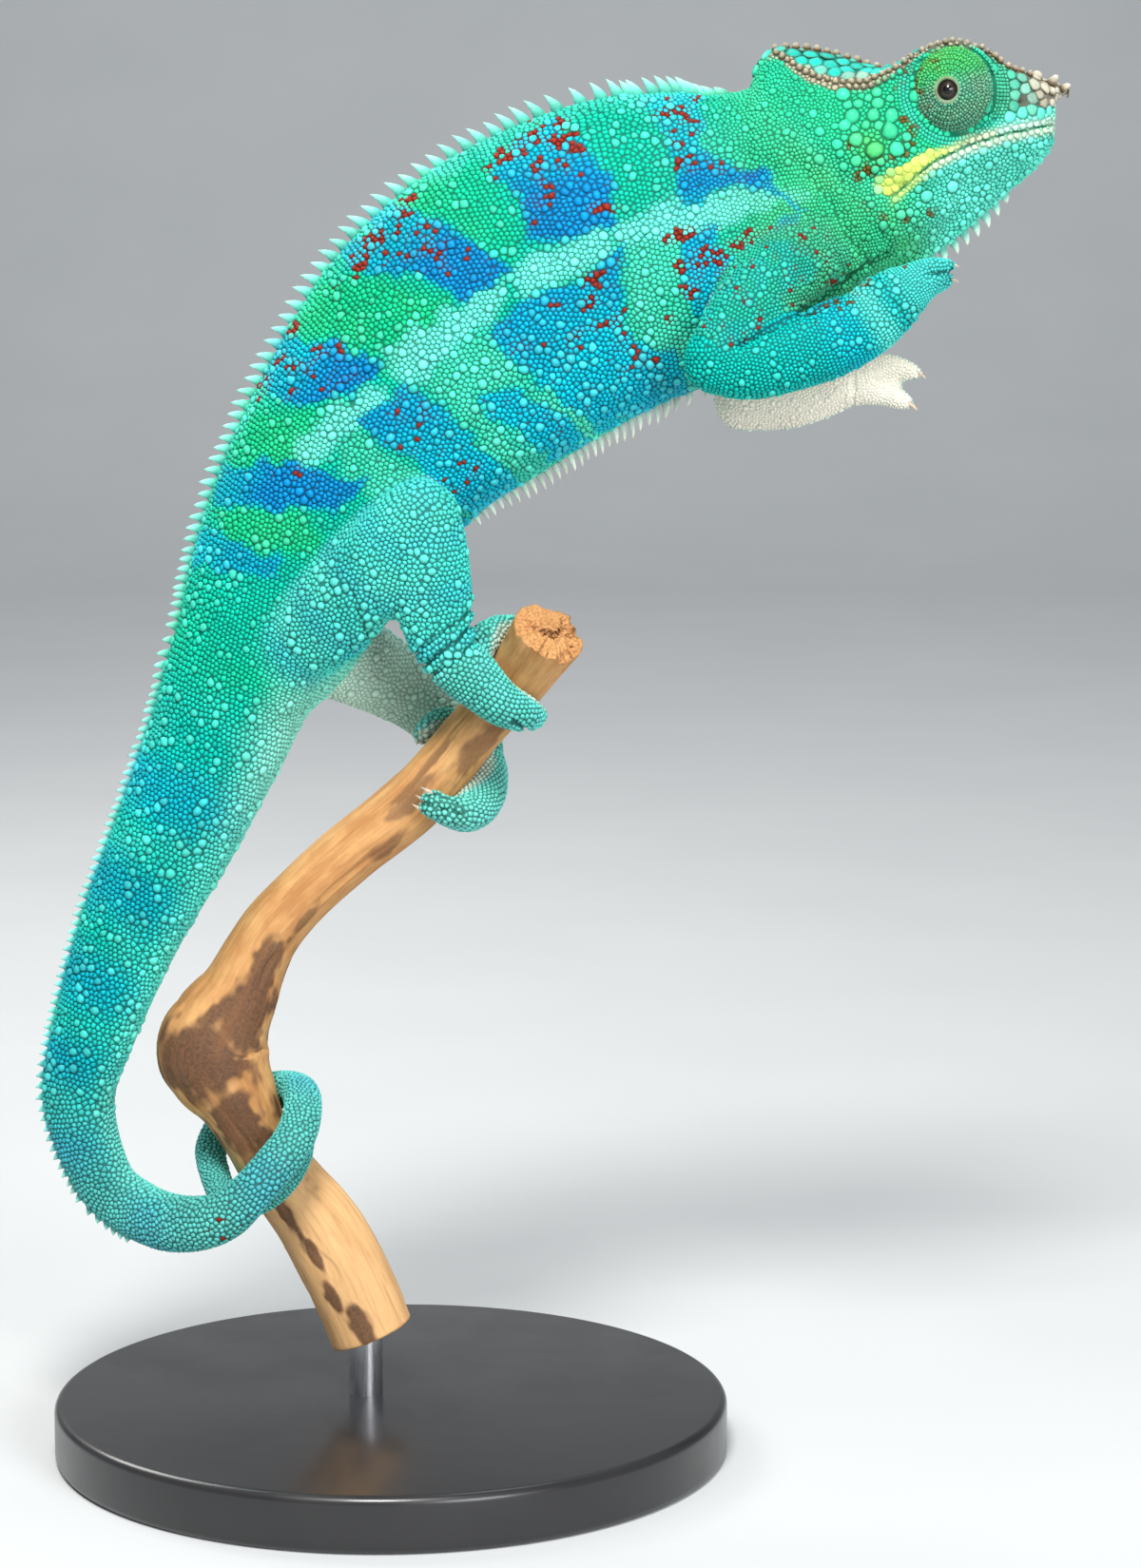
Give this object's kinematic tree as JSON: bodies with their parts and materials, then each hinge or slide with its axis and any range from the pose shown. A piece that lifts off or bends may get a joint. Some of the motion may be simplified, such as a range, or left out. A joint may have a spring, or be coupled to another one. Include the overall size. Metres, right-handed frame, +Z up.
{
  "type": "chameleon display model",
  "caption": "Life-size male panther chameleon, still, gripping a short branch with hind feet and tail and reaching forward, on a round display stand.",
  "frame": {"origin": "centre of the display stand's underside, on the floor", "axes": "+Z up, +X the way the chameleon's head points, +Y towards the animal's left side, so its right side faces -Y"},
  "size_m": [0.181, 0.12, 0.2482],
  "materials": {
    "skin": "small domed scales, satin, turquoise and green with blue bars",
    "eye": "wet gloss, dark iris and pupil",
    "driftwood": "bare, weathered, streaked with brown",
    "base_lacquer": "black satin lacquer",
    "rod_steel": "brushed"
  },
  "bodies": {
    "root": {"eye_turret_left": "skin", "eye_turret_right": "skin", "eyeball_left": "eye", "eyeball_right": "eye", "forearm_left": "skin", "forearm_right": "skin", "forefoot_left": "skin", "forefoot_right": "skin", "head": "skin", "hindfoot_left": "skin", "hindfoot_right": "skin", "jaw": "skin", "neck": "skin", "perch_branch": "driftwood", "shank_left": "skin", "shank_right": "skin", "stand_base": "base_lacquer", "stand_rod": "rod_steel", "tail_1_base": "skin", "tail_2": "skin", "tail_3": "skin", "tail_4": "skin", "tail_5": "skin", "tail_6_coil": "skin", "tail_7_coil": "skin", "tail_8_coil": "skin", "tail_9_tip": "skin", "thigh_left": "skin", "thigh_right": "skin", "trunk": "skin", "upper_arm_left": "skin", "upper_arm_right": "skin"}
  },
  "joints": []
}
